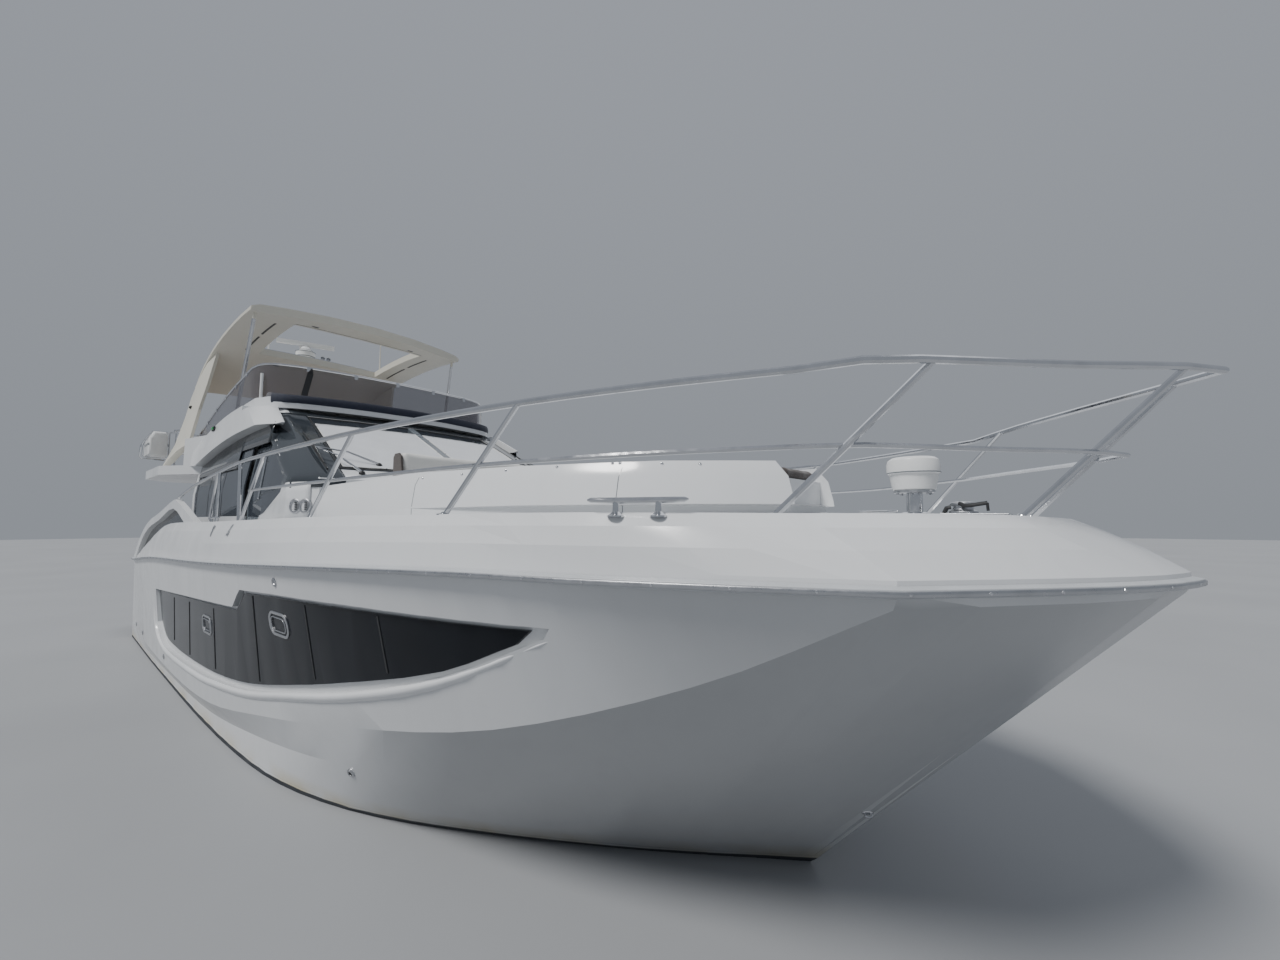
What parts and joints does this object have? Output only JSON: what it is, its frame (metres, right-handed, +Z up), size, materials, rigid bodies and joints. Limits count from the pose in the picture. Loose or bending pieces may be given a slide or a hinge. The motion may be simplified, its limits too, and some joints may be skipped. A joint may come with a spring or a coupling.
{
  "type": "motor yacht",
  "caption": "Twin-screw flybridge motor yacht with hardtop, raised foredeck lounge, swim platform and bow rail; propellers, rudders, radar, doors, gates and hatches move.",
  "frame": {"origin": "on the waterline, amidships, on the centreline", "axes": "+X towards the bow, +Y to port, +Z up"},
  "size_m": [15.6269, 4.486, 7.2103],
  "materials": {
    "hull_gelcoat": "glossy white gelcoat",
    "deck_gelcoat": "glossy white gelcoat, fine non-skid on the decks",
    "rub_rail_vinyl": "satin white band",
    "dark_glass": "near-black tinted glass",
    "cabin_glass": "dark tinted glass",
    "smoked_acrylic": "smoked acrylic sheet",
    "stainless": "polished stainless tube",
    "hardtop_cream": "satin cream moulding",
    "white_vinyl": "soft white vinyl cover",
    "brown_fabric": "dark brown woven cushion",
    "white_plastic": "glossy white plastic",
    "interior_lacquer": "satin interior lacquer",
    "teak": "oiled teak",
    "bronze": "cast bronze"
  },
  "bodies": {
    "yacht": {"hull": "hull_gelcoat", "deck": "deck_gelcoat", "rub_rail": "rub_rail_vinyl", "hull_window_port": "dark_glass", "hull_window_stbd": "dark_glass", "cockpit_glass_port": "dark_glass", "cockpit_glass_stbd": "dark_glass", "swim_platform": "deck_gelcoat", "deckhouse": "deck_gelcoat", "windscreen": "cabin_glass", "side_glass_port": "cabin_glass", "side_glass_stbd": "cabin_glass", "corner_glass_stbd": "cabin_glass", "saloon_bulkhead": "deck_gelcoat", "saloon_interior": "interior_lacquer", "lounge": "deck_gelcoat", "sunpad": "white_vinyl", "backrest": "brown_fabric", "fore_seat": "brown_fabric", "searchlight": "white_plastic", "bow_rail": "stainless", "rail_posts_port": "stainless", "rail_posts_stbd": "stainless", "flybridge": "deck_gelcoat", "fascia_port": "deck_gelcoat", "fascia_stbd": "deck_gelcoat", "wind_deflector": "smoked_acrylic", "deflector_rail": "stainless", "fly_rail": "stainless", "life_raft": "white_plastic", "hardtop": "hardtop_cream", "arch_leg_port": "hardtop_cream", "arch_leg_stbd": "hardtop_cream", "radar_mast": "stainless", "stairs": "teak", "cockpit_table": "teak", "strut_port": "bronze", "strut_stbd": "bronze"},
    "propeller_port": {"propeller_port": "bronze", "shaft_port": "stainless"},
    "propeller_stbd": {"propeller_stbd": "bronze", "shaft_stbd": "stainless"},
    "rudder_port": {"rudder_port": "bronze"},
    "rudder_stbd": {"rudder_stbd": "bronze"},
    "radar_bar": {"radar_bar": "white_plastic"},
    "transom_gate_port": {"transom_gate_port": "deck_gelcoat"},
    "transom_gate_stbd": {"transom_gate_stbd": "deck_gelcoat"},
    "helm_door": {"helm_door": "cabin_glass"},
    "saloon_door": {"saloon_door": "cabin_glass"},
    "locker_lid": {"locker_lid": "deck_gelcoat"},
    "stair_hatch": {"stair_hatch": "deck_gelcoat"}
  },
  "joints": [
    {"name": "propeller_port_spin", "type": "hinge", "parent": "yacht", "child": "propeller_port", "pos_m": [-5.2, 0.85, -0.8], "axis": [0.9889, 0, 0.1483], "continuous": true},
    {"name": "propeller_stbd_spin", "type": "hinge", "parent": "yacht", "child": "propeller_stbd", "pos_m": [-5.2, -0.85, -0.8], "axis": [0.9889, 0, 0.1483], "continuous": true},
    {"name": "rudder_port_steer", "type": "hinge", "parent": "yacht", "child": "rudder_port", "pos_m": [-5.76, 0.85, -0.48], "axis": [0, 0, 1], "range_deg": [-35, 35]},
    {"name": "rudder_stbd_steer", "type": "hinge", "parent": "yacht", "child": "rudder_stbd", "pos_m": [-5.76, -0.85, -0.48], "axis": [0, 0, 1], "range_deg": [-35, 35]},
    {"name": "radar_spin", "type": "hinge", "parent": "yacht", "child": "radar_bar", "pos_m": [-4.1, 0, 5.56], "axis": [0, 0, 1], "continuous": true},
    {"name": "transom_gate_port_hinge", "type": "hinge", "parent": "yacht", "child": "transom_gate_port", "pos_m": [-5.7, 1.156, 1.25], "axis": [0, 0, 1], "range_deg": [-90, 0]},
    {"name": "transom_gate_stbd_hinge", "type": "hinge", "parent": "yacht", "child": "transom_gate_stbd", "pos_m": [-5.7, -1.156, 1.25], "axis": [0, 0, 1], "range_deg": [0, 90]},
    {"name": "helm_door_slide", "type": "slide", "parent": "yacht", "child": "helm_door", "axis": [-1, 0, 0], "range_m": [0, 0.46]},
    {"name": "saloon_door_slide", "type": "slide", "parent": "yacht", "child": "saloon_door", "axis": [0, -1, 0], "range_m": [0, 0.75]},
    {"name": "locker_lid_hinge", "type": "hinge", "parent": "yacht", "child": "locker_lid", "pos_m": [6.14, 0, 2.1721], "axis": [0, -1, 0], "range_deg": [0, 75]},
    {"name": "stair_hatch_hinge", "type": "hinge", "parent": "yacht", "child": "stair_hatch", "pos_m": [-4.1, 1.554, 3], "axis": [-1, 0, 0], "range_deg": [0, 85]}
  ],
  "couplings": [
    {"joint": "rudder_stbd_steer", "follows": "rudder_port_steer", "ratio": 1}
  ]
}
